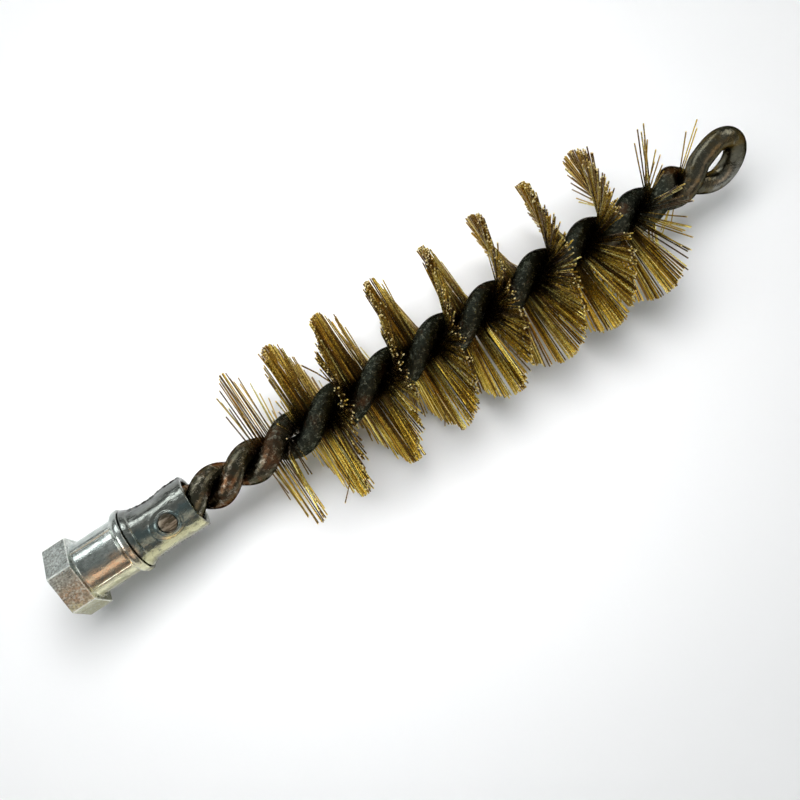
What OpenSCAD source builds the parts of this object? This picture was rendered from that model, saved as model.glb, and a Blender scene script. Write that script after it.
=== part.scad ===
// Wire tube brush: a twisted steel stem that clamps brass filaments in a double helix,
// with an eye at one end and a threaded coupling at the other.
// Millimetres. +X runs along the brush from the threaded end to the eye, and +Z is up.
// The origin is the centre of the thread's mouth. The brush lies level on its filament tips.
// Angles about the brush axis are counted from +Y towards +Z.

/* [Coupling] */
// Width of the hexagon across its flats
hex_af = 19; // [19:0.5:21]
// Length of the hexagon
hex_len = 6.8; // [6:0.2:9]
// Angle of one corner of the hexagon
hex_turn = 22; // [0:1:59]
// Diameter of the ribbed barrel
barrel_d = 16; // [15.6:0.1:16.4]
// Width of each of the four ribs
rib_w = 1.2; // [0.8:0.1:2]
// Height of each rib above the barrel
rib_h = 0.5; // [0.3:0.1:0.7]
// Start of the collar
collar_x = 18.5; // [17:0.5:19]
// Diameter of the collar
collar_d = 18.9; // [18:0.1:19.5]
// Diameter of the sleeve around the stem
sleeve_d = 15.4; // [15:0.1:15.8]
// Whole length of the coupling
coupling_len = 40.1; // [38:0.1:44]
// Bore of the female thread: the crests of a 1/2 inch, 12 threads per inch thread
thread_d = 10; // [9.8:0.1:10.6]
// Depth of the threaded bore
thread_depth = 18; // [12:1:19]
// Bore of the socket that takes the stem
socket_d = 12.6; // [12.5:0.1:13.2]
// Depth of the socket
socket_depth = 16; // [12:0.5:16.5]
// Depth of the waist in the +Y side of the sleeve
waist_depth = 0.7; // [0.2:0.1:1]
// Length of that waist
waist_len = 10; // [6:1:12]

/* [Cross pin] */
// Diameter of the pin that holds the stem in the socket
pin_d = 5.2; // [4:0.1:5.6]
// Distance of the pin from the threaded end
pin_x = 32.4; // [30:0.1:35]
// Angle of the pin across the sleeve
pin_turn = 110; // [0:1:179]
// How far each end of the pin lies below the sleeve's surface
pin_sink = 0.5; // [0.2:0.1:0.8]

/* [Stem] */
// Diameter of the stem wire
wire_d = 6.1; // [5:0.1:6.1]
// Distance of each strand's centre from the axis where the strands touch
bare_reach = 3.12; // [3.12:0.01:3.2]
// The same distance where they hold filaments between them
filled_reach = 3.8; // [3.6:0.1:4]
// Angle of the filament layer at the threaded end
first_lay = 148.6; // [0:0.1:180]
// Centre of the eye, from the threaded end
eye_x = 219.7; // [218:0.1:222]
// Half of the eye's width, between the wire's centre lines
eye_reach = 7.6; // [6.5:0.1:8]
// Length of the eye's rounded end, along the wire's centre line
eye_bight = 6.7; // [6:0.1:9]
// How far the centre of the eye lies aside, towards -Y
eye_aside = 0.5; // [0:0.1:1]

/* [Filaments] */
// Diameter over the filament tips
brush_d = 50; // [40:1:60]
// Start of the filaments, from the threaded end
fill_start = 60.5; // [58:0.5:70]
// End of the filaments
fill_end = 206.3; // [190:0.1:206.5]
// Number of groups that the filaments are divided into
fan_count = 27; // [18:1:40]
// Gap along the axis between two neighbouring groups
fan_gap = 0.2; // [0.1:0.1:0.5]

/* [Hidden] */
fan_names = [for (i = [1 : fan_count]) str("filaments_", i < 10 ? "0" : "", i)];

wire_sides = 12;
ring_step = 1.6;
bight_rings = 14;
fan_steps = 6;
overlap = 1;
pin_hole_d = pin_d + 0.1;
collar_rise = (collar_d - barrel_d) / 2;
stem_start = coupling_len - socket_depth + 0.4;

// Degrees of twist per millimetre against the distance from the threaded end. The strands
// are twisted tighter where they are bare, and hardly at all along the eye.
twist_rate = [[0, 16.4], [41, 16.4], [91, 10.4], [192, 10.4], [202, 16.4], [210, 16.4], [213, 2.4],
              [222, 0], [240, 0]];
// The strands' distance from the axis, up to the start of the eye
strand_reach = [[0, bare_reach], [59, bare_reach], [68, filled_reach], [196, filled_reach],
                [205, bare_reach]];
eye_start = 207;
// Half of the filament layer's thickness against the distance from the axis
layer_half = [[0, 0.6], [6, 0.75], [brush_d / 2, 1.6]];
// Distances from the axis at which a filament group's surface has points
fan_reach = [for (part = [-1, -0.6, -0.24, 0, 0.24, 0.6, 1]) part * brush_d / 2];

function sum(list, i = 0) = i < len(list) ? list[i] + sum(list, i + 1) : 0;
function unit(v) = v / norm(v);
function around(angle) = [0, cos(angle), sin(angle)];
function rate(x) = lookup(x, twist_rate);

// Twist from the threaded end to x, as the area under the twist rate
function twist(x) = sum([
    for (i = [0 : len(twist_rate) - 2])
        let (start = twist_rate[i][0], stop = min(x, twist_rate[i + 1][0]))
            stop > start ? (rate(start) + rate(stop)) / 2 * (stop - start) : 0
]);

// Angle of the filament layer at x. The twist is left-handed.
function lay(x) = first_lay - twist(x);

function ease(t) = (1 - cos(180 * t)) / 2;
function reach(x) = x < eye_start
    ? lookup(x, strand_reach)
    : bare_reach + (eye_reach - bare_reach) * ease((x - eye_start) / (eye_x - eye_start));

function aside(x) = eye_aside * max(0, x - eye_start) / (eye_x - eye_start);

// Centre of a strand at x. The two strands are on opposite sides of the filament layer.
function strand(x, side) = [x, -aside(x), 0] + side * reach(x) * around(lay(x) + 90);
function strand_direction(x, side) = side * unit(strand(x + 0.05, side) - strand(x - 0.05, side));

// A ring of the wire: its centre, the wire's direction there and the way out from the axis
function ring(centre, direction, outward) =
    let (across = unit(cross(direction, outward)), out = cross(across, direction))
        [for (i = [0 : wire_sides - 1])
            let (a = 360 * i / wire_sides) centre + wire_d / 2 * (cos(a) * out + sin(a) * across)];

function strand_ring(x, side) =
    ring(strand(x, side), strand_direction(x, side), side * around(lay(x) + 90));

eye_side = around(lay(eye_x) + 90);
function bight_centre(angle) =
    let (x = eye_x + eye_bight * cos(angle)) [x, -aside(x), 0] + eye_reach * sin(angle) * eye_side;
function bight_ring(angle) = ring(
    bight_centre(angle),
    unit([eye_bight * sin(angle), 0, 0] - eye_reach * cos(angle) * eye_side),
    [cos(angle) / eye_bight, 0, 0] + sin(angle) / eye_reach * eye_side
);

module along_x(x = 0) { translate([x, 0, 0]) rotate([0, 90, 0]) children(); }
module across_at(angle) { rotate([angle, 0, 0]) rotate([-90, 0, 0]) children(); }

// Outline of the coupling's turned shape: radius, then distance from the threaded end
module coupling_outline() {
    polygon([
        [0, overlap], [9.2, overlap], [9.2, hex_len], [barrel_d / 2, hex_len + 0.8],
        [barrel_d / 2, collar_x], [barrel_d / 2 + 0.6 * collar_rise, collar_x + 0.8],
        [barrel_d / 2 + 0.95 * collar_rise, collar_x + 1.6], [collar_d / 2, collar_x + 2.2],
        [collar_d / 2, collar_x + 2.8], [collar_d / 2 - 0.3, collar_x + 3.1],
        [sleeve_d / 2 + 0.5, collar_x + 3.4], [sleeve_d / 2 + 0.3, collar_x + 5],
        [sleeve_d / 2, collar_x + 5.2], [sleeve_d / 2, coupling_len - 0.4],
        [sleeve_d / 2 - 0.4, coupling_len], [0, coupling_len]
    ]);
}

module barrel_ribs() {
    for (i = [0 : 3])
        rotate([hex_turn + 30 + 90 * i, 0, 0])
            translate([hex_len - overlap, barrel_d / 2 - overlap, -rib_w / 2])
                cube([collar_x - hex_len + 2 * overlap, overlap + rib_h, rib_w]);
}

// The thin seam that the mould leaves along both sides of the sleeve
module mould_seam() {
    for (side = [0, 180])
        rotate([pin_turn - 90 + side, 0, 0])
            translate([collar_x + 4, sleeve_d / 2 - overlap, -0.25])
                cube([coupling_len - collar_x - 4.6, overlap + 0.25, 0.5]);
}

// The waist is a shallow round scallop across one side of the sleeve
module waist() {
    scallop_r = (pow(waist_len / 2, 2) + pow(waist_depth, 2)) / (2 * waist_depth);
    rotate([pin_turn - 90, 0, 0])
        translate([collar_x + 5.4 + waist_len / 2, sleeve_d / 2 - waist_depth + scallop_r, 0])
            cylinder(r = scallop_r, h = sleeve_d, center = true, $fn = 96);
}

module coupling() {
    color("silver")
    difference() {
        union() {
            rotate([hex_turn + 90, 0, 0])
                along_x() cylinder(d = hex_af / cos(30), h = hex_len, $fn = 6);
            along_x() rotate_extrude($fn = 96) coupling_outline();
            barrel_ribs();
            mould_seam();
        }
        along_x(-overlap) cylinder(d = thread_d, h = thread_depth + overlap, $fn = 64);
        along_x(coupling_len - socket_depth)
            cylinder(d = socket_d, h = socket_depth + overlap, $fn = 64);
        translate([pin_x, 0, 0])
            across_at(pin_turn) cylinder(d = pin_hole_d, h = 2 * sleeve_d, center = true, $fn = 48);
        waist();
    }
}

module cross_pin() {
    color("dimgray")
    translate([pin_x, 0, 0])
        across_at(pin_turn)
            cylinder(d = pin_d, h = sleeve_d - 2 * pin_sink, center = true, $fn = 48);
}

module stem_wire() {
    steps = round((eye_x - stem_start) / ring_step);
    xs = [for (i = [0 : steps - 1]) stem_start + (eye_x - stem_start) * i / steps];
    rings = concat(
        [for (x = xs) strand_ring(x, 1)],
        [for (i = [0 : bight_rings]) bight_ring(90 - 180 * i / bight_rings)],
        [for (i = [1 : steps]) strand_ring(xs[steps - i], -1)]
    );
    last = len(rings) - 1;
    function index(i, j) = i * wire_sides + j % wire_sides;
    walls = [
        for (i = [0 : last - 1], j = [0 : wire_sides - 1])
            each [
                [index(i, j), index(i + 1, j), index(i + 1, j + 1)],
                [index(i, j), index(i + 1, j + 1), index(i, j + 1)]
            ]
    ];
    caps = [
        [for (j = [0 : wire_sides - 1]) index(0, j)],
        [for (j = [wire_sides - 1 : -1 : 0]) index(last, j)]
    ];
    color("darkslategray")
    difference() {
        polyhedron(points = [for (r = rings) each r], faces = concat(walls, caps));
        translate([pin_x, 0, 0])
            across_at(pin_turn) cylinder(d = pin_hole_d, h = 2 * sleeve_d, center = true, $fn = 48);
    }
}

// A point on one face of the filament layer, reach from the axis and half a layer off its middle
function layer_point(x, reach, side) =
    let (
        a = lay(x),
        slope = rate(x) * PI / 180 * reach,
        normal = unit([slope, -sin(a), cos(a)])
    )
        [x, 0, 0] + reach * around(a) + side * lookup(abs(reach), layer_half) * normal;

// One group of filaments: the closed solid that they fill, from tip to tip through the stem
module filament_fan(index) {
    pitch = (fill_end - fill_start) / fan_count;
    start = fill_start + pitch * index + fan_gap / 2;
    length = pitch - fan_gap;
    columns = len(fan_reach);
    // Each row is a closed loop: out along one face of the layer and back along the other
    loop_size = 2 * columns;
    points = [
        for (i = [0 : fan_steps])
            let (x = start + length * i / fan_steps)
                each concat(
                    [for (j = [0 : columns - 1]) layer_point(x, fan_reach[j], 1)],
                    [for (j = [columns - 1 : -1 : 0]) layer_point(x, fan_reach[j], -1)]
                )
    ];
    function point_index(i, j) = i * loop_size + j % loop_size;
    walls = [
        for (i = [0 : fan_steps - 1], j = [0 : loop_size - 1])
            each [
                [point_index(i, j), point_index(i + 1, j), point_index(i + 1, j + 1)],
                [point_index(i, j), point_index(i + 1, j + 1), point_index(i, j + 1)]
            ]
    ];
    function end_face(i, j, flip) =
        let (back = loop_size - 1 - j, a = point_index(i, j), b = point_index(i, j + 1),
             c = point_index(i, back - 1), d = point_index(i, back))
            flip ? [[a, c, b], [a, d, c]] : [[a, b, c], [a, c, d]];
    ends = [
        for (j = [0 : columns - 2])
            each concat(end_face(0, j, false), end_face(fan_steps, j, true))
    ];
    color("goldenrod")
    polyhedron(points = points, faces = concat(walls, ends));
}

coupling();
cross_pin();
stem_wire();
for (i = [0 : fan_count - 1])
    filament_fan(i);
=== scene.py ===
"""The looks of a wire tube brush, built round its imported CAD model.

Lengths in the modelling functions are millimetres and are scaled once, in new_piece().
Angles about the brush axis are degrees, counted from +Y towards +Z, as in the CAD model.
"""
import math

import bpy
import numpy as np
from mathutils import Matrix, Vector


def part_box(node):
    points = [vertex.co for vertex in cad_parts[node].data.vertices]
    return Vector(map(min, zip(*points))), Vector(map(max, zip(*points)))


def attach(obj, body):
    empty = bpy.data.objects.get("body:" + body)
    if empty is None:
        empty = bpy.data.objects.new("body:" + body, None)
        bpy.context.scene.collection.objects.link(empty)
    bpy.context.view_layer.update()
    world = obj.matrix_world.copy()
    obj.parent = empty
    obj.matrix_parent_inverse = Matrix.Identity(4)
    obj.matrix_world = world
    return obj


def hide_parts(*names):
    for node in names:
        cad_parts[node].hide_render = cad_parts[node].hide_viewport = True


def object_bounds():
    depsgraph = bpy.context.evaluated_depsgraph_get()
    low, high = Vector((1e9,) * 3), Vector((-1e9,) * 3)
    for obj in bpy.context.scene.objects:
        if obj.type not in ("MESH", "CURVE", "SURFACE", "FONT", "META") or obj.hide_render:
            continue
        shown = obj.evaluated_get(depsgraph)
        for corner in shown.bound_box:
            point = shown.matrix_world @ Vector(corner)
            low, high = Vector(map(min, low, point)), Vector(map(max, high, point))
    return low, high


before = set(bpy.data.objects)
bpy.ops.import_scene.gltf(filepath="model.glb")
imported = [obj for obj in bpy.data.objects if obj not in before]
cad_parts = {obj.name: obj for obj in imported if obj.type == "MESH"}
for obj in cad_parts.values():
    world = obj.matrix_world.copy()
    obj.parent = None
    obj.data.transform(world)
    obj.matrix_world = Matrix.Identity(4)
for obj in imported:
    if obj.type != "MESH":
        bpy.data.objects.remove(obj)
cad_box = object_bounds()

MM = 0.001
rng = np.random.default_rng(7)


def box_mm(node):
    """Low and high corner of a CAD node's box."""
    return [np.array(corner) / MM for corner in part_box(node)]


coupling_len = box_mm("coupling")[1][0]
stem_start = box_mm("stem_wire")[0][0]
pin_low, pin_high = box_mm("cross_pin")
pin_x = (pin_low[0] + pin_high[0]) / 2
pin_r = (pin_high[0] - pin_low[0]) / 2
floor_z = cad_box[0][2] / MM
fan_nodes = sorted(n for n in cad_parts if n.startswith("filaments_"))

# ---------------------------------------------------------------- dimensions

# Coupling: hexagon, barrel with four ribs, collar, sleeve, tapped bore and socket.
HEX_APOTHEM, HEX_LEN, HEX_TURN = 9.5, 6.8, 22.0
FLAT_TURN = HEX_TURN + 30
BARREL_R = 8.0
RIB_COUNT, RIB_W, RIB_H, RIB_SHOULDER = 4, 1.2, 0.62, 0.16
COLLAR_X = 18.5
SLEEVE_R = 7.7
SEAM_TURN = 20.0
THREAD_TOP_R, THREAD_ROOT_R, THREAD_PITCH, THREAD_END = 5.0, 6.35, 2.117, 18.0
SOCKET_R, SOCKET_END = 6.3, 24.1

# Cross pin and the hole that it sits in.
PIN_TURN = 110.0
PIN_HOLE_R = 2.65
PIN_HALF = 7.6

# Stem: turn of the filament layer, in degrees a millimetre along X, and the strands' distance from the axis.
TWIST_X = (0, 41, 91, 192, 202, 210, 213, 222, 240)
TWIST_RATE = (16.4, 16.4, 10.4, 10.4, 16.4, 16.4, 2.4, 0, 0)
TWIST_STEP = 0.05
FIRST_LAY = 148.6
WIRE_R = 3.13
BARE_REACH, FILLED_REACH = 3.12, 3.8
REACH_X = (67, 77, 184, 192)
EYE_X, EYE_REACH, EYE_BIGHT, EYE_START, EYE_ASIDE = 219.7, 7.6, 6.7, 207.0, 0.5

# Filaments: how many a millimetre along X, and how loosely they stand. Spreads are in degrees.
TIP_R = 25.0
FILAMENT_R = 0.2
FILL_START, FILL_END = 60.5, 206.3
DENSITY_X = (60.5, 61.5, 71, 73, 75, 78, 185.5, 187, 196, 196.6)
DENSITY = (0.6, 2.4, 2.4, 1.6, 3.5, 10.8, 10.8, 3.3, 3.0, 0.0)
LOOSE_X = (64, 76, 186, 190)
LOOSENESS = (1.3, 1.0, 1.0, 1.6)
CLUMP = 2.0
CLUMP_SPREAD = 1.6
TURN_SPREAD, TILT_SPREAD = 1.3, 1.5
ROWS, ROW_PITCH = 4, 0.37
KINKED_SHARE = 0.004
# The last two filaments before the eye: place along X, turn and lean.
LAST_FILAMENTS = ((206.0, 0, -7), (205.6, -4, 0))
LAST_STEADY_X = 205

# ---------------------------------------------------------------- camera

camera_data = bpy.data.cameras.new("camera")
camera_data.sensor_width = 36
camera_data.lens = 36.13
camera = bpy.data.objects.new("camera", camera_data)
camera.location = (0.08012, -0.04113, 0.22074)
camera.rotation_euler = (math.radians(10.2), 0, math.radians(-33.82))
camera_data.clip_start = 0.005
bpy.context.collection.objects.link(camera)
bpy.context.scene.camera = camera

# ---------------------------------------------------------------- mesh helpers


def around(angle):
    """Unit vectors square to the brush axis at these angles."""
    a = np.radians(angle)
    return np.stack([np.zeros_like(a), np.cos(a), np.sin(a)], axis=-1)


def angle_gap(angle, centre):
    """Signed difference of two angles, from -180 to 180."""
    return (np.asarray(angle) - centre + 180) % 360 - 180


def smoothstep(low, high, value):
    t = np.clip((np.asarray(value, float) - low) / (high - low), 0, 1)
    return t * t * (3 - 2 * t)


def bell(value, centre, width):
    return np.exp(-(((value - centre) / width) ** 2))


def unit(v):
    return v / np.linalg.norm(v, axis=-1, keepdims=True)


def summed(rate, step):
    """Running total of a rate that is known at every step."""
    return np.concatenate([[0], np.cumsum((rate[1:] + rate[:-1]) / 2 * step)])


def new_piece(name, points_mm, faces, material, nodes):
    """A mesh object with smooth faces that rides on the brush and stands for the CAD nodes."""
    mesh = bpy.data.meshes.new(name)
    mesh.from_pydata((np.asarray(points_mm) * MM).tolist(), [], faces)
    mesh.shade_smooth()
    mesh.materials.append(material)
    piece = bpy.data.objects.new(name, mesh)
    bpy.context.collection.objects.link(piece)
    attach(piece, "root")
    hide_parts(*nodes)
    return piece


def tube_faces(first, rings, sides, close_ends=True):
    """Faces of a tube whose rings of points follow one another from index first."""
    faces = []
    for i in range(rings - 1):
        row = first + i * sides
        for j in range(sides):
            k = (j + 1) % sides
            faces.append((row + j, row + k, row + sides + k, row + sides + j))
    if close_ends:
        faces.append(tuple(first + j for j in reversed(range(sides))))
        last = first + (rings - 1) * sides
        faces.append(tuple(last + j for j in range(sides)))
    return faces


def ring_points(centres, directions, outward, radius, sides):
    """Rings of points round a path: one row of points for each centre."""
    across = unit(np.cross(directions, outward))[:, None, :]
    out = np.cross(across[:, 0], directions)[:, None, :]
    a = np.linspace(0, 2 * np.pi, sides, endpoint=False)[None, :, None]
    return centres[:, None, :] + np.reshape(radius, (-1, 1, 1)) * (np.cos(a) * out + np.sin(a) * across)


def apply_modifiers(piece):
    """Leaves the piece with the mesh that its modifiers make."""
    done = bpy.data.meshes.new_from_object(piece.evaluated_get(bpy.context.evaluated_depsgraph_get()))
    piece.modifiers.clear()
    piece.data = done


# ---------------------------------------------------------------- materials


class Nodes:
    """Short calls for building a material's node tree."""

    def __init__(self, name):
        self.material = bpy.data.materials.new(name)
        self.material.use_nodes = True
        self.tree = self.material.node_tree
        self.shader = self.tree.nodes["Principled BSDF"]
        self.place = self.add("ShaderNodeTexCoord").outputs["Object"]

    def add(self, kind, **settings):
        node = self.tree.nodes.new(kind)
        for key, value in settings.items():
            setattr(node, key, value)
        return node

    def put(self, socket, value):
        """Links a socket's value, or sets a plain one. A plain colour may leave out its alpha."""
        if isinstance(value, bpy.types.NodeSocket):
            self.tree.links.new(value, socket)
        elif socket.type == "RGBA":
            socket.default_value = (*value[:3], 1)
        else:
            socket.default_value = value

    def stretch(self, scale, turn=(0, 0, 0)):
        node = self.add("ShaderNodeMapping")
        self.put(node.inputs["Vector"], self.place)
        self.put(node.inputs["Scale"], scale)
        self.put(node.inputs["Rotation"], turn)
        return node.outputs["Vector"]

    def noise(self, scale, detail=4.0, roughness=0.6, vector=None, distortion=0.0):
        node = self.add("ShaderNodeTexNoise")
        self.put(node.inputs["Vector"], vector or self.place)
        self.put(node.inputs["Scale"], scale)
        self.put(node.inputs["Detail"], detail)
        self.put(node.inputs["Roughness"], roughness)
        self.put(node.inputs["Distortion"], distortion)
        return node.outputs["Fac"]

    def ramp(self, value, low, high, to_low=0.0, to_high=1.0):
        node = self.add("ShaderNodeMapRange", interpolation_type="SMOOTHSTEP")
        self.put(node.inputs["Value"], value)
        for name, number in zip(("From Min", "From Max", "To Min", "To Max"), (low, high, to_low, to_high)):
            self.put(node.inputs[name], number)
        return node.outputs["Result"]

    def math(self, operation, a, b=0.0):
        node = self.add("ShaderNodeMath", operation=operation)
        self.put(node.inputs[0], a)
        self.put(node.inputs[1], b)
        return node.outputs["Value"]

    def times(self, first, *others):
        for other in others:
            first = self.math("MULTIPLY", first, other)
        return first

    def strayed(self, value, fraction, span):
        """The value, moved by up to half the span either way as the fraction runs from 0 to 1."""
        return self.math("ADD", value, self.times(self.math("SUBTRACT", fraction, 0.5), span))

    def near(self, value, centre, far, close, most=1.0):
        """Rises from 0 to most as the value's distance from the centre falls from far to close."""
        gap = self.math("ABSOLUTE", self.math("SUBTRACT", value, centre))
        return self.ramp(gap, far, close, 0.0, most)

    def mix(self, factor, a, b):
        node = self.add("ShaderNodeMix", data_type="RGBA")
        self.put(node.inputs["Factor"], factor)
        self.put(node.inputs["A"], a)
        self.put(node.inputs["B"], b)
        return node.outputs["Result"]

    def bump(self, height, strength, distance_mm, normal=None):
        node = self.add("ShaderNodeBump")
        self.put(node.inputs["Strength"], strength)
        self.put(node.inputs["Distance"], distance_mm * MM)
        self.put(node.inputs["Height"], height)
        if normal:
            self.put(node.inputs["Normal"], normal)
        return node.outputs["Normal"]

    def part_of_place(self, axis):
        node = self.add("ShaderNodeSeparateXYZ")
        self.put(node.inputs[0], self.place)
        return node.outputs[axis]

    def length_of(self, *axes):
        """Length, in metres, of the place's part along two axes."""
        a, b = (self.part_of_place(axis) for axis in axes)
        return self.math("SQRT", self.math("ADD", self.times(a, a), self.times(b, b)))

    def point_value(self, name):
        return self.add("ShaderNodeAttribute", attribute_name=name).outputs["Fac"]

    def finish(self, **sockets):
        for name, value in sockets.items():
            self.put(self.shader.inputs[name.replace("_", " ")], value)
        return self.material


def zinc_tone_and_painted_reflections(n, side, on_sleeve):
    """Colour of the casting: cool grey on top, then bands painted round the axis as reflections: a pinkish
    band, a pale yellow highlight, and dull green-brown shade towards the floor and underneath.
    """
    clouds = n.noise(200, 4.0, 0.65, distortion=0.5)
    wander = n.strayed(side, clouds, 50.0)
    cool = n.mix(n.ramp(clouds, 0.35, 0.65), (0.37, 0.41, 0.39), (0.60, 0.64, 0.61))
    # Pinkish band just past the top: a painted reflection of warm surroundings.
    painted_rosy_reflection = n.mix(n.ramp(n.noise(600, 4.0, 0.7), 0.40, 0.62), (0.58, 0.43, 0.31), (0.50, 0.46, 0.37))
    painted_olive_shade = n.mix(n.ramp(n.noise(500, 4.0, 0.7), 0.40, 0.62), (0.27, 0.26, 0.13), (0.34, 0.33, 0.22))
    colour = n.mix(n.ramp(wander, 92, 112), cool, painted_rosy_reflection)
    # Pale yellow band towards the floor: a painted highlight, the reflection of the bright floor.
    colour = n.mix(n.ramp(wander, 130, 144), colour, (0.74, 0.72, 0.50))
    # Painted shade towards the floor and on the underside, in a dull green-brown.
    colour = n.mix(n.ramp(wander, 154, 168), colour, painted_olive_shade)
    colour = n.mix(n.ramp(wander, -20, -60), colour, painted_olive_shade)
    # On the sleeve: a pale yellow painted highlight towards the floor, then painted dull green-brown shade
    # below it.
    sleeve = n.mix(n.ramp(wander, 128, 146), (0.24, 0.25, 0.225), (0.56, 0.54, 0.32))
    sleeve = n.mix(n.ramp(wander, 154, 168), sleeve, (0.26, 0.25, 0.15))
    # A darker teal band on the sleeve's side near the pin: a painted dark reflection.
    sleeve = n.mix(n.near(wander, PIN_TURN + 2, 24, 12), sleeve, (0.12, 0.18, 0.185))
    colour = n.mix(n.times(on_sleeve, 0.9), colour, sleeve)
    # Painted shade, a dark reflection, on the sleeve's upper side by the seam and its pressed waist.
    painted_shade_by_seam = n.near(wander, SEAM_TURN, 46, 18)
    return n.mix(n.times(painted_shade_by_seam, on_sleeve, 0.8), colour, (0.14, 0.15, 0.145))


def worn_and_highlit_edges(n, x, side):
    """Where the hexagon's corners and its back rim are rubbed bright: worn metal, and a painted edge
    highlight.
    """
    past_corner = n.math("MODULO", n.math("ADD", side, 360 - HEX_TURN + 30), 60.0)
    corners = n.near(past_corner, 30.0, 1.7, 0.9)
    rim = n.near(x, (HEX_LEN - 0.15) * MM, 0.22 * MM, 0.10 * MM, 0.7)
    hexagon_only = n.ramp(x, (HEX_LEN + 0.05) * MM, (HEX_LEN - 0.05) * MM)
    patchy = n.ramp(n.noise(420, 4.0, 0.7), 0.34, 0.56, 0.5, 1.0)
    off_end_face = n.ramp(x, 0.10 * MM, 0.35 * MM)
    return n.times(n.math("MAXIMUM", corners, rim), hexagon_only, off_end_face, patchy)


def cast_zinc():
    n = Nodes("cast_zinc")
    x, y, z = (n.part_of_place(axis) for axis in "XYZ")
    side = n.times(n.math("ARCTAN2", z, y), 180 / math.pi)
    on_hexagon = n.ramp(x, (HEX_LEN + 0.6) * MM, (HEX_LEN - 0.2) * MM)
    on_sleeve = n.ramp(x, (COLLAR_X + 2) * MM, (COLLAR_X + 4.5) * MM)
    colour = zinc_tone_and_painted_reflections(n, side, on_sleeve)
    streaks = n.noise(900, 5.0, 0.65, n.stretch((0.3, 1, 1)))
    colour = n.mix(n.ramp(streaks, 0.46, 0.32, 0.0, 0.6), colour, (0.16, 0.17, 0.16))
    dirt = n.times(n.ramp(n.noise(700, 5.0, 0.75), 0.52, 0.70, 0.0, 0.8), n.ramp(on_sleeve, 0, 1, 0.55, 1.0))
    colour = n.mix(dirt, colour, (0.10, 0.10, 0.08))
    sand = n.times(n.ramp(n.noise(1900, 2.0, 0.5), 0.44, 0.58, 0.0, 0.6), on_hexagon)
    colour = n.mix(sand, colour, (0.19, 0.18, 0.15))
    specks = n.times(n.ramp(n.noise(1500, 2.0, 0.5), 0.52, 0.64, 0.0, 0.7), on_hexagon)
    colour = n.mix(specks, colour, (0.74, 0.78, 0.74))
    # Painted shade on the hexagon's flat that faces -Y, in a dull green-brown.
    low_flat_painted_shade = n.times(n.ramp(y, -8.4 * MM, -8.9 * MM, 0.0, 0.65), on_hexagon)
    colour = n.mix(low_flat_painted_shade, colour, (0.27, 0.26, 0.13))
    # Painted shade in the narrow groove behind the collar.
    groove_painted_shade = n.near(x, (COLLAR_X + 3.1) * MM, 0.16 * MM, 0.07 * MM, 0.8)
    colour = n.mix(groove_painted_shade, colour, (0.05, 0.05, 0.04))
    # Worn bright edges, which also stand as a painted edge highlight.
    colour = n.mix(worn_and_highlit_edges(n, x, side), colour, (0.92, 0.94, 0.88))
    seam_wave = n.ramp(n.noise(260, 3.0), 0.35, 0.65, SEAM_TURN - 1, SEAM_TURN + 10)
    seam_only = n.ramp(x, (COLLAR_X + 4.5) * MM, (COLLAR_X + 6) * MM)
    colour = n.mix(n.times(n.near(side, seam_wave, 6.0, 2.5), seam_only), colour, (0.035, 0.035, 0.03))
    rough = n.math("ADD", n.ramp(streaks, 0.35, 0.7, 0.17, 0.31), n.times(on_hexagon, 0.10))
    grain = n.noise(2300, 2.0, 0.6)
    dents = n.times(n.noise(380, 3.0, 0.55), n.ramp(on_sleeve, 0, 1, 0.15, 1.0))
    normal = n.bump(grain, 0.5, 0.07)
    normal = n.bump(n.times(grain, on_hexagon), 0.9, 0.10, normal)
    normal = n.bump(dents, 0.6, 0.35, normal)
    return n.finish(Metallic=1.0, Base_Color=colour, Roughness=rough, Normal=normal)


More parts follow.
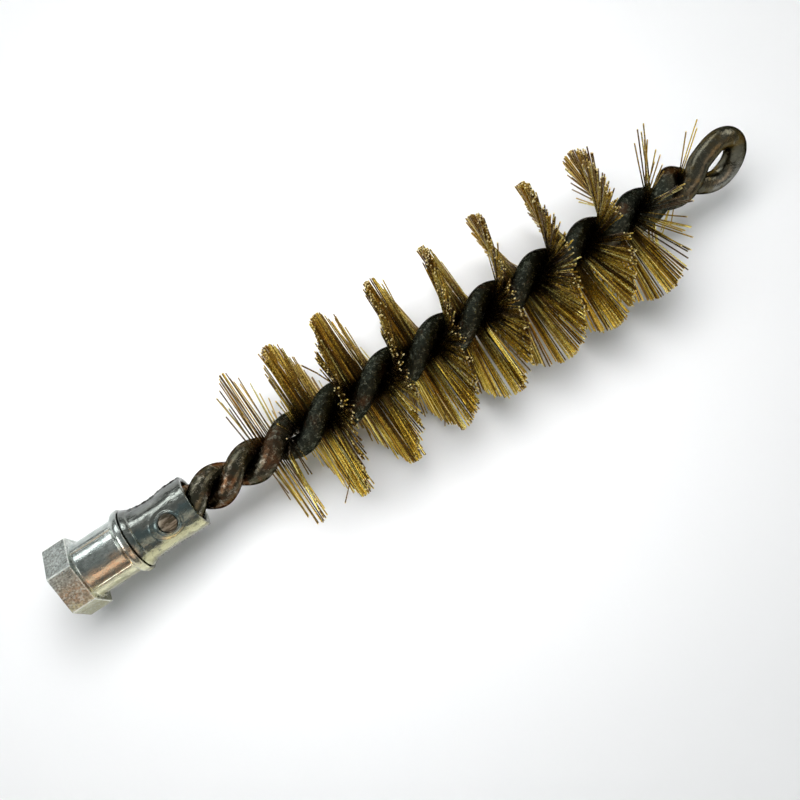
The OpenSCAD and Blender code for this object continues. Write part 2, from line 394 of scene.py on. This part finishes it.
def stem_steel():
    """Dark annealed wire: darker and stained brown among the filaments, worn bright and given a painted
    highlight on the eye's lower edge.
    """
    n = Nodes("stem_steel")
    x = n.part_of_place("X")
    in_brush = n.times(n.ramp(x, 56 * MM, 74 * MM), n.ramp(x, 207 * MM, 198 * MM))
    at_eye = n.ramp(x, 200 * MM, 210 * MM)
    patches = n.noise(130, 4.0, 0.6, distortion=0.4)
    fine_patches = n.noise(750, 5.0, 0.7)
    specks = n.noise(1400, 3.0, 0.6)
    neck = n.mix(n.ramp(patches, 0.42, 0.60), (0.085, 0.080, 0.055), (0.125, 0.066, 0.034))
    neck = n.mix(n.ramp(fine_patches, 0.50, 0.66, 0.0, 0.75), neck, (0.34, 0.31, 0.25))
    eye = n.mix(n.ramp(patches, 0.44, 0.62), (0.105, 0.10, 0.075), (0.15, 0.115, 0.055))
    eye = n.mix(n.ramp(fine_patches, 0.54, 0.70, 0.0, 0.35), eye, (0.36, 0.36, 0.29))
    # The eye's lower edge is worn bright: rubbed metal and a painted highlight.
    low_edge_painted_highlight = n.times(n.ramp(n.part_of_place("Y"), -3.5 * MM, -6.5 * MM), n.ramp(x, 214 * MM, 218 * MM))
    rubbed = n.times(low_edge_painted_highlight, n.ramp(fine_patches, 0.38, 0.55, 0.35, 1.0))
    eye = n.mix(rubbed, eye, (0.29, 0.29, 0.26))
    # Darker among the filaments, with brown stains and light specks.
    dark_in_brush = n.mix(n.ramp(patches, 0.52, 0.66), (0.030, 0.034, 0.026), (0.080, 0.045, 0.025))
    dark_in_brush = n.mix(n.ramp(fine_patches, 0.50, 0.64, 0.0, 0.6), dark_in_brush, (0.15, 0.165, 0.13))
    dark_in_brush = n.mix(n.ramp(specks, 0.56, 0.68, 0.0, 0.6), dark_in_brush, (0.30, 0.31, 0.25))
    colour = n.mix(in_brush, n.mix(at_eye, neck, eye), dark_in_brush)
    rough = n.ramp(fine_patches, 0.35, 0.7, 0.14, 0.32)
    normal = n.bump(n.noise(480, 4.0, 0.6), 0.7, 0.25)
    normal = n.bump(n.times(fine_patches, n.ramp(in_brush, 0, 1, 0.25, 1.0)), 1.0, 0.45, normal)
    return n.finish(
        Metallic=1.0, Base_Color=colour, Roughness=rough, Normal=normal, Specular_Tint=(0.12, 0.12, 0.11)
    )


def pin_steel():
    n = Nodes("pin_steel")
    streaks = n.noise(1000, 4.0, 0.6, n.stretch((0.25, 1, 1), (0, 0, math.radians(35))))
    colour = n.mix(n.ramp(streaks, 0.44, 0.62), (0.10, 0.086, 0.062), (0.40, 0.35, 0.28))
    rough = n.ramp(streaks, 0.3, 0.7, 0.30, 0.55)
    return n.finish(Metallic=1.0, Base_Color=colour, Roughness=rough, Normal=n.bump(streaks, 0.8, 0.3))


def brass_wire():
    """Drawn brass: each filament has its own tone, a root darkened by stain and painted shade, and bright
    sheared ends.
    """
    n = Nodes("brass_wire")
    tone = n.point_value("tone")
    colour = n.mix(n.ramp(tone, 0.22, 0.48), (0.15, 0.080, 0.016), (0.58, 0.37, 0.045))
    colour = n.mix(n.ramp(tone, 0.48, 0.72), colour, (0.88, 0.66, 0.11))
    colour = n.mix(n.ramp(tone, 0.82, 0.92), colour, (1.0, 0.90, 0.34))
    spots = n.ramp(n.noise(260, 3.0, 0.6), 0.50, 0.72, 0.0, 0.35)
    colour = n.mix(spots, colour, (0.20, 0.11, 0.025))
    # Painted shade: filaments on the far side of the axis turn darker brown.
    far_side = n.ramp(n.part_of_place("Y"), 3 * MM, 15 * MM)
    far_side_painted_shade = n.times(far_side, n.ramp(n.noise(60, 3.0), 0.35, 0.6, 0.3, 0.6))
    colour = n.mix(far_side_painted_shade, colour, (0.26, 0.15, 0.035))
    second_tone = n.math("FRACT", n.times(tone, 7.31))
    # Darker towards the root: grime and painted shade, ending at a different reach on each filament.
    reach = n.strayed(n.length_of("Y", "Z"), second_tone, 9 * MM)
    colour = n.mix(n.ramp(reach, 14 * MM, 5 * MM, 0.0, 0.86), colour, (0.070, 0.040, 0.016))
    cut_end = n.point_value("cut_end")
    sheared = n.times(cut_end, n.ramp(second_tone, 0.35, 0.75, 0.1, 1.0))
    colour = n.mix(sheared, colour, (1.0, 0.88, 0.50))
    rough = n.math("MAXIMUM", n.ramp(n.noise(1500, 3.0), 0.3, 0.7, 0.14, 0.30), n.times(cut_end, 0.6))
    return n.finish(Metallic=1.0, Base_Color=colour, Roughness=rough)


def stage_paper():
    """Pale paper, which glows faintly away from the brush so that it stays evenly bright."""
    n = Nodes("stage_paper")
    colour = n.mix(n.noise(3.0), (0.905, 0.91, 0.915), (0.93, 0.935, 0.94))
    glow = n.ramp(n.length_of("X", "Y"), 0.10, 0.45, 0.0, 0.62)
    return n.finish(Base_Color=colour, Roughness=0.9, Emission_Strength=glow)


ZINC, STEM, PIN, BRASS, PAPER = cast_zinc(), stem_steel(), pin_steel(), brass_wire(), stage_paper()

# ---------------------------------------------------------------- stem

fine_x = np.arange(0, TWIST_X[-1], TWIST_STEP)
fine_twist = summed(np.interp(fine_x, TWIST_X, TWIST_RATE), TWIST_STEP)


def lay(x):
    """Angle of the filament layer at x."""
    return FIRST_LAY - np.interp(x, fine_x, fine_twist)


def strand_reach(x):
    """How far the middle of each strand lies from the axis at x."""
    plain = np.interp(x, REACH_X, (BARE_REACH, FILLED_REACH, FILLED_REACH, BARE_REACH))
    t = (x - EYE_START) / (EYE_X - EYE_START)
    opening = BARE_REACH + (EYE_REACH - BARE_REACH) * (1 - np.cos(np.pi * t)) / 2
    return np.where(x < EYE_START, plain, opening)


def aside(x):
    """How far the eye's middle lies aside at x."""
    return -EYE_ASIDE * np.maximum(0, x - EYE_START) / (EYE_X - EYE_START)


def strand(x, side):
    """Middle line of one strand: side is 1 for one and -1 for the other."""
    centre = side * strand_reach(x)[:, None] * around(lay(x) + 90)
    centre[:, 0] += x
    centre[:, 1] += aside(x)
    return centre


def build_stem():
    """The folded wire: out along one strand, round the eye, and back along the other."""
    sides, step, bight_steps = 28, 0.6, 46
    x = np.linspace(stem_start, EYE_X, int((EYE_X - stem_start) / step))
    strand_side = around(lay(x) + 90)
    eye_side = strand_side[-1]
    turn = np.radians(np.linspace(90, -90, bight_steps))[1:-1]
    bight = np.outer(np.sin(turn) * EYE_REACH, eye_side)
    bight[:, 0] += EYE_X + EYE_BIGHT * np.cos(turn)
    bight[:, 1] += aside(bight[:, 0])
    bight_outward = np.outer(np.sin(turn) / EYE_REACH, eye_side)
    bight_outward[:, 0] += np.cos(turn) / EYE_BIGHT
    path = np.concatenate([strand(x, 1), bight, strand(x, -1)[::-1]])
    outward = np.concatenate([strand_side, bight_outward, -strand_side[::-1]])
    directions = unit(np.gradient(path, axis=0))
    length = np.concatenate([[0], np.cumsum(np.linalg.norm(np.diff(path, axis=0), axis=1))])
    swell = 1 + 0.004 * np.sin(length / 3.1) + 0.004 * np.sin(length / 1.27 + 1)
    swell += 0.03 * smoothstep(EYE_START - 2, EYE_START + 7, path[:, 0])
    points = ring_points(path, directions, outward, WIRE_R * swell, sides)
    faces = tube_faces(0, len(path), sides)
    new_piece("stem", points.reshape(-1, 3), faces, STEM, ["stem_wire"])


# ---------------------------------------------------------------- filaments


def filament_places(start, end):
    """Places along the stem at which filaments are clamped, closer together in the full part of the brush."""
    fine = np.linspace(start, end, 200)
    amount = summed(np.interp(fine, DENSITY_X, DENSITY), np.diff(fine))
    count = max(1, round(amount[-1]))
    steps = (np.arange(count) + rng.uniform(0.1, 0.9, count)) / count * amount[-1]
    return np.interp(steps, amount, fine)


def filament_path(x, row, angle, tilt, kinked):
    """Points of one filament from tip to tip: straight, but for a slight bow or a kink near one tip."""
    along = np.array([-1, -0.985, -0.8, -0.5, -0.2, 0, 0.2, 0.5, 0.8, 0.985, 1.0])
    out, across = around(np.array([angle, angle + 90]))
    reach = np.clip(along * TIP_R + rng.normal(0, 0.3), -TIP_R, TIP_R)
    path = reach[:, None] * (out * math.cos(tilt) + (math.sin(tilt), 0, 0)) + (x, 0, 0)
    path += (row + rng.normal(0, 0.3) * along**2)[:, None] * across
    if kinked:
        end = rng.choice((-1, 1))
        bend = np.maximum(0, along * end - rng.uniform(0.5, 0.75)) * TIP_R
        path += bend[:, None] * (rng.normal(0, 0.3) * across + rng.normal(0, 0.4) * np.array([1, 0, 0]))
        path -= bend[:, None] * 0.15 * end * out
    return path, across, np.abs(along) > 0.99


def fan_filaments(start, end, is_last):
    """Place, turn and lean of each filament in one fan. Neighbours in a clump share their turn and lean."""
    xs = filament_places(start, end)
    clumps = np.floor((xs - start) / CLUMP).astype(int)
    clump_turn = rng.normal(0, CLUMP_SPREAD, clumps.max() + 1)[clumps]
    clump_lean = rng.normal(0, CLUMP_SPREAD, clumps.max() + 1)[clumps]
    return [*zip(xs, clump_turn, clump_lean)] + (list(LAST_FILAMENTS) if is_last else [])


def build_filaments():
    """One piece for each CAD fan, made of single filaments that carry their tone and mark their cut ends."""
    sides, gap = 6, 0.1
    pitch = (FILL_END - FILL_START) / len(fan_nodes)
    for index, node in enumerate(fan_nodes):
        start = FILL_START + index * pitch + gap
        points, faces, tones, ends = [], [], [], []
        filaments = fan_filaments(start, start + pitch - 2 * gap, node == fan_nodes[-1])
        for i, (x, turn, lean) in enumerate(filaments):
            loose = np.interp(x, LOOSE_X, LOOSENESS) if x < LAST_STEADY_X else 1.0
            angle = lay(x) + (turn + rng.normal(0, TURN_SPREAD)) * loose
            tilt = math.radians((lean + rng.normal(0, TILT_SPREAD)) * loose)
            row = (i % ROWS - (ROWS - 1) / 2) * ROW_PITCH + rng.normal(0, 0.03)
            path, across, is_end = filament_path(x, row, angle, tilt, rng.random() < KINKED_SHARE)
            size = len(path)
            directions = unit(np.gradient(path, axis=0))
            ring = ring_points(path, directions, np.tile(across, (size, 1)), FILAMENT_R, sides)
            ring[..., 2] = np.maximum(ring[..., 2], floor_z + 0.02)
            faces += tube_faces(len(points) * sides * size, size, sides)
            points.append(ring.reshape(-1, 3))
            tones.append(np.full(sides * size, rng.random()))
            ends.append(np.repeat(is_end.astype(float), sides))
        piece = new_piece(node + "_wires", np.concatenate(points), faces, BRASS, [node])
        for name, values in (("tone", tones), ("cut_end", ends)):
            layer = piece.data.attributes.new(name, "FLOAT", "POINT")
            layer.data.foreach_set("value", np.concatenate(values).astype(np.float32))


# ---------------------------------------------------------------- coupling

# Profiles of the coupling: how far along X, and how far in or out.
MOUTH_CHAMFER = ((0.9, 0.6), (0.55, 0.85), (0.28, 1.1), (0.1, 1.3), (0.0, 1.5))
FRONT_EDGE = ((0.0, 0.28), (0.04, 0.14), (0.12, 0.05), (0.26, 0.0))
BACK_EDGE = ((0.22, 0.0), (0.1, 0.05), (0.03, 0.13), (0.0, 0.24))
COLLAR_RISE = (
    (0.0, 0.0), (0.15, 0.10), (0.45, 0.45), (0.85, 0.90), (1.25, 1.22), (1.7, 1.40), (2.2, 1.45), (2.85, 1.42)
)
COLLAR_GROOVE = (
    (2.98, 1.45), (3.01, 1.00), (3.05, 0.60), (3.1, 0.55), (3.15, 0.60), (3.2, 0.95), (3.38, 1.10),
    (3.75, 1.02), (4.3, 0.72), (4.8, 0.50), (4.98, 0.34), (5.08, 0.12), (5.2, 0.0)
)
SLEEVE_EDGE = ((0.5, 0.0), (0.26, 0.05), (0.1, 0.16), (0.0, 0.4))
SOCKET_EDGE = ((0.0, 0.45), (0.12, 0.2), (0.4, 0.0))


def fine_angles():
    """Angles round the coupling, closer together at the hexagon's corners, the ribs and the seams."""
    close_by = [(HEX_TURN + 60 * corner, (0, 0.3, 0.7, 1.2, 2)) for corner in range(6)]
    close_by += [(FLAT_TURN + 90 * rib, (0, 2, 3.2, 3.8, 4.4, 5, 6)) for rib in range(RIB_COUNT)]
    close_by += [(SEAM_TURN + side, (0, 0.6, 1.2, 1.8, 2.6, 4)) for side in (0, 180)]
    angles = set(np.round(np.arange(0, 360, 1.5), 3))
    for centre, offsets in close_by:
        angles |= {round((centre + sign * d) % 360, 3) for d in offsets for sign in (-1, 1)}
    return np.array(sorted(angles))


THETA = fine_angles()
EVEN = np.ones_like(THETA)


def arc_from(centre, radius):
    """Distance round a cylinder of this radius from the angle centre."""
    return np.abs(angle_gap(THETA, centre)) * math.pi / 180 * radius


def hexagon(inset=0.0):
    """Radius of the hexagon, with slightly worn corners, at each angle."""
    sharpness, worn = 64, 1.003
    corners = np.zeros_like(THETA)
    for flat in range(6):
        corners += np.abs(np.cos(np.radians(angle_gap(THETA, FLAT_TURN + 60 * flat)))) ** sharpness / 2
    return (HEX_APOTHEM - inset) / corners ** (1 / sharpness) * worn


def rib_height():
    """Height of the cast ribs over the barrel, with soft shoulders."""
    height = np.zeros_like(THETA)
    for rib in range(RIB_COUNT):
        off = arc_from(FLAT_TURN + 90 * rib, BARREL_R)
        rise = smoothstep(RIB_W / 2 + RIB_SHOULDER, RIB_W / 2 - RIB_SHOULDER, off)
        height = np.maximum(height, RIB_H * rise)
    return height


RIBS = rib_height()


def sleeve_relief(x):
    """How the sleeve differs from a round tube at x: pressed waist, seam and ring round the pin."""
    relief = np.zeros_like(THETA)
    along_waist = smoothstep(COLLAR_X + 5.2, COLLAR_X + 9, x) * smoothstep(COLLAR_X + 17.5, COLLAR_X + 12, x)
    relief -= 0.62 * along_waist * smoothstep(46, 8, np.abs(angle_gap(THETA, SEAM_TURN + 8)))
    relief -= 0.18 * along_waist * smoothstep(50, 10, np.abs(angle_gap(THETA, SEAM_TURN + 180)))
    along_seam = smoothstep(COLLAR_X + 4.6, COLLAR_X + 6.5, x)
    ragged = 0.6 + 0.4 * math.sin(x * 2.3) * math.sin(x * 5.1 + 1)
    seam_wave = 1.5 * math.sin(x * 0.9)
    left_of_pin = smoothstep(0.4, -1.5, x - pin_x)
    for side in (0, 180):
        off_seam = arc_from(SEAM_TURN + side + seam_wave, SLEEVE_R)
        relief += 0.42 * ragged * along_seam * smoothstep(0.34, 0.08, off_seam)
        off_pin = arc_from(PIN_TURN + side, SLEEVE_R)
        reach = np.hypot(x - pin_x, off_pin)
        relief += 0.20 * bell(reach, 3.0, 0.32)
        relief -= 0.16 * bell(reach, 3.75, 0.42)
        relief += 0.16 * left_of_pin * bell(np.hypot(x - pin_x + 0.3, off_pin), 4.5, 0.28)
    return relief


def thread_radius(x):
    """The wall of the tapped bore: a V thread that turns right-handed and runs out at both ends."""
    turn = (x / THREAD_PITCH + THETA / 360) % 1
    depth = np.clip(np.abs(turn - 0.5) * 2 * 1.25 - 0.12, 0, 1)
    fade = smoothstep(THREAD_END, THREAD_END - 3, x) * smoothstep(0, 0.9, x + 0.3)
    return THREAD_TOP_R + (THREAD_ROOT_R - THREAD_TOP_R) * depth * fade


def bore_rings():
    """Rings of (x, radius at each angle) from the thread's floor out to the mouth's chamfer."""
    yield THREAD_END + 1.2, 1.2 * EVEN
    yield THREAD_END + 0.2, 4.7 * EVEN
    for x in np.arange(THREAD_END, 0.9, -0.19):
        yield x, thread_radius(x)
    for x, r in MOUTH_CHAMFER:
        yield x, np.maximum(thread_radius(x), THREAD_TOP_R + r)


def hexagon_rings():
    mouth_r = THREAD_TOP_R + MOUTH_CHAMFER[-1][1]
    root_r = BARREL_R + 0.95
    for part in (0.3, 0.65, 0.9):
        yield 0.0, mouth_r + part * (hexagon(0.3) - mouth_r)
    for x, inset in FRONT_EDGE:
        yield x, hexagon(inset)
    for x in np.linspace(0.9, HEX_LEN - 0.9, 6):
        yield x, hexagon()
    for x, inset in BACK_EDGE:
        yield HEX_LEN - x, hexagon(inset)
    for part in (0.75, 0.4, 0.1):
        yield HEX_LEN + 0.02, root_r + part * (hexagon(0.3) - root_r)


def barrel_rings():
    """The fillet behind the hexagon, the ribbed barrel and the collar with its groove."""
    fillet = 0.9
    for a in np.radians((0, 18, 36, 54, 72, 90)):
        x = HEX_LEN + 0.02 + fillet * (1 - math.cos(a))
        yield x, BARREL_R + fillet * (1 - math.sin(a)) + RIBS * math.sin(a)
    for x in np.linspace(HEX_LEN + 1.3, COLLAR_X - 0.15, 16):
        yield x, BARREL_R + RIBS
    for x, rise in COLLAR_RISE:
        yield COLLAR_X + x, BARREL_R + rise + RIBS * max(0.0, 1 - rise)
    for x, rise in COLLAR_GROOVE:
        yield COLLAR_X + x, (SLEEVE_R + rise) * EVEN


def sleeve_rings():
    """The sleeve with its open end, and the socket inside it."""
    for x in np.arange(COLLAR_X + 5.4, coupling_len - 0.6, 0.22):
        yield x, SLEEVE_R + sleeve_relief(x)
    uneven = 0.06 * np.sin(np.radians(THETA * 7)) * np.sin(np.radians(THETA * 3 + 40))
    for x, inset in SLEEVE_EDGE:
        relief = sleeve_relief(coupling_len - x) * (1 - inset * 2)
        yield coupling_len - x, SLEEVE_R - inset + uneven * inset * 4 + relief
    for x, r in SOCKET_EDGE:
        yield coupling_len - x, (SOCKET_R + r) * EVEN
    for x in np.arange(coupling_len - 1.4, SOCKET_END, -1.5):
        yield x, SOCKET_R * EVEN
    yield SOCKET_END, SOCKET_R * EVEN
    yield SOCKET_END, 2 * EVEN


def pin_hole_cutter():
    """A closed cylinder that runs through the coupling along the pin."""
    sides, beyond = 64, 12
    across, side = around(np.array([PIN_TURN, PIN_TURN + 90]))
    turns = np.radians(np.linspace(0, 360, sides, endpoint=False))
    circle = PIN_HOLE_R * (np.outer(np.cos(turns), (1, 0, 0)) + np.outer(np.sin(turns), side))
    circle[:, 0] += pin_x
    tube = np.concatenate([circle + beyond * across, circle - beyond * across])
    mesh = bpy.data.meshes.new("pin_hole")
    mesh.from_pydata((tube * MM).tolist(), [], tube_faces(0, 2, sides))
    cutter = bpy.data.objects.new("pin_hole", mesh)
    bpy.context.collection.objects.link(cutter)
    return cutter


def build_coupling():
    rings = [*bore_rings(), *hexagon_rings(), *barrel_rings(), *sleeve_rings()]
    points = np.stack([radius[:, None] * around(THETA) + (x, 0, 0) for x, radius in rings])
    faces = [tuple(reversed(face)) for face in tube_faces(0, len(rings), len(THETA))]
    piece = new_piece("coupling_cast", points.reshape(-1, 3), faces, ZINC, ["coupling"])
    cutter = pin_hole_cutter()
    cut = piece.modifiers.new("pin_hole", "BOOLEAN")
    cut.operation = "DIFFERENCE"
    cut.solver = "EXACT"
    cut.object = cutter
    apply_modifiers(piece)
    bpy.data.objects.remove(cutter)


def build_pin():
    """A pin with slightly domed, chamfered ends that lie just below the sleeve's surface."""
    sides = 48
    end = ((-0.12, 0.4), (-0.1, 1.2), (0.0, pin_r - 0.35), (0.15, pin_r - 0.1), (0.4, pin_r))
    profile = [(x - PIN_HALF, r) for x, r in end]
    profile += [(-x, r) for x, r in reversed(profile)]
    along, radius = np.array(profile).T
    across = around(np.array([PIN_TURN]))[0]
    centres = np.outer(along, across)
    centres[:, 0] += pin_x
    directions = np.tile(across, (len(along), 1))
    outward = np.tile((1.0, 0, 0), (len(along), 1))
    points = ring_points(centres, directions, outward, radius, sides)
    new_piece("pin", points.reshape(-1, 3), tube_faces(0, len(along), sides), PIN, ["cross_pin"])


build_stem()
build_filaments()
build_coupling()
build_pin()

# ---------------------------------------------------------------- stage

# In metres.
FLOOR_REACH, WALL_R, WALL_H = 3, 2.8, 2.5
STAGE_MIDDLE_X = 0.1


def stage_piece(name, points, faces):
    mesh = bpy.data.meshes.new(name)
    mesh.from_pydata(points, [], faces)
    mesh.materials.append(PAPER)
    piece = bpy.data.objects.new(name, mesh)
    piece.location = (STAGE_MIDDLE_X, 0, floor_z * MM)
    bpy.context.collection.objects.link(piece)
    return piece


def build_stage():
    """A floor, and a wall all round it that only the camera sees."""
    corners = [(x * FLOOR_REACH, y * FLOOR_REACH, 0) for x, y in ((-1, -1), (1, -1), (1, 1), (-1, 1))]
    stage_piece("floor", corners, [(0, 1, 2, 3)])
    turns = np.radians(np.arange(0, 360, 5))
    wall = [(WALL_R * math.cos(t), WALL_R * math.sin(t), height) for height in (0, WALL_H) for t in turns]
    backdrop = stage_piece("backdrop", wall, tube_faces(0, 2, len(turns), close_ends=False))
    backdrop.visible_diffuse = False
    backdrop.visible_glossy = False
    backdrop.visible_shadow = False


build_stage()

# ---------------------------------------------------------------- light

# The key lights the paper and makes the shadow. The others are only seen as reflections in the metal.
KEY = ("key", (-0.06, 0.22, 0.97), 0.235, (0.19, 0.13), 0.88, (0.99, 0.99, 1.0))
REFLECTED = (
    ("window", (-0.05, 0.82, 0.57), 0.9, (1.0, 0.21), 2.7, (0.95, 0.985, 1.0)),
    ("left_window", (-0.86, 0.12, 0.50), 0.9, (0.5, 0.36), 2.3, (1.0, 1.0, 0.98)),
    ("right_window", (0.86, 0.12, 0.50), 0.9, (0.5, 0.24), 1.5, (1.0, 0.98, 0.94)),
    ("warm_card", (0.0, -0.74, 0.68), 0.6, (0.9, 0.22), 0.75, (1.0, 0.74, 0.54)),
)
LIT_MIDDLE = np.array([0.11, 0, 0])
SKY_COLOUR = (0.95, 0.985, 0.97, 1)
SKY_LOW, SKY_HIGH = 0.18, 0.30


def area_light(name, direction, distance, size, power, colour):
    """A rectangular light, level along its first side, that faces the middle of the brush."""
    data = bpy.data.lights.new(name, "AREA")
    data.shape = "RECTANGLE"
    data.size, data.size_y = size
    data.energy = power
    data.color = colour
    light = bpy.data.objects.new(name, data)
    away = unit(np.array(direction, float))
    light.location = LIT_MIDDLE + away * distance
    light.rotation_euler = Vector(-away).to_track_quat("-Z", "Y").to_euler()
    bpy.context.collection.objects.link(light)
    return light


def build_sky():
    """A dim even sky, a little brighter overhead."""
    world = bpy.data.worlds.new("studio")
    world.use_nodes = True
    sky = world.node_tree
    direction = sky.nodes.new("ShaderNodeSeparateXYZ")
    sky.links.new(sky.nodes.new("ShaderNodeTexCoord").outputs["Generated"], direction.inputs[0])
    strength = sky.nodes.new("ShaderNodeMapRange")
    for name, number in zip(("From Min", "From Max", "To Min", "To Max"), (0.0, 0.75, SKY_LOW, SKY_HIGH)):
        strength.inputs[name].default_value = number
    sky.links.new(direction.outputs["Z"], strength.inputs["Value"])
    sky.links.new(strength.outputs["Result"], sky.nodes["Background"].inputs["Strength"])
    sky.nodes["Background"].inputs["Color"].default_value = SKY_COLOUR
    return world


area_light(*KEY).visible_glossy = False
for light in REFLECTED:
    area_light(*light).visible_diffuse = False
scene = bpy.context.scene
scene.world = build_sky()
scene.view_settings.view_transform = "Standard"
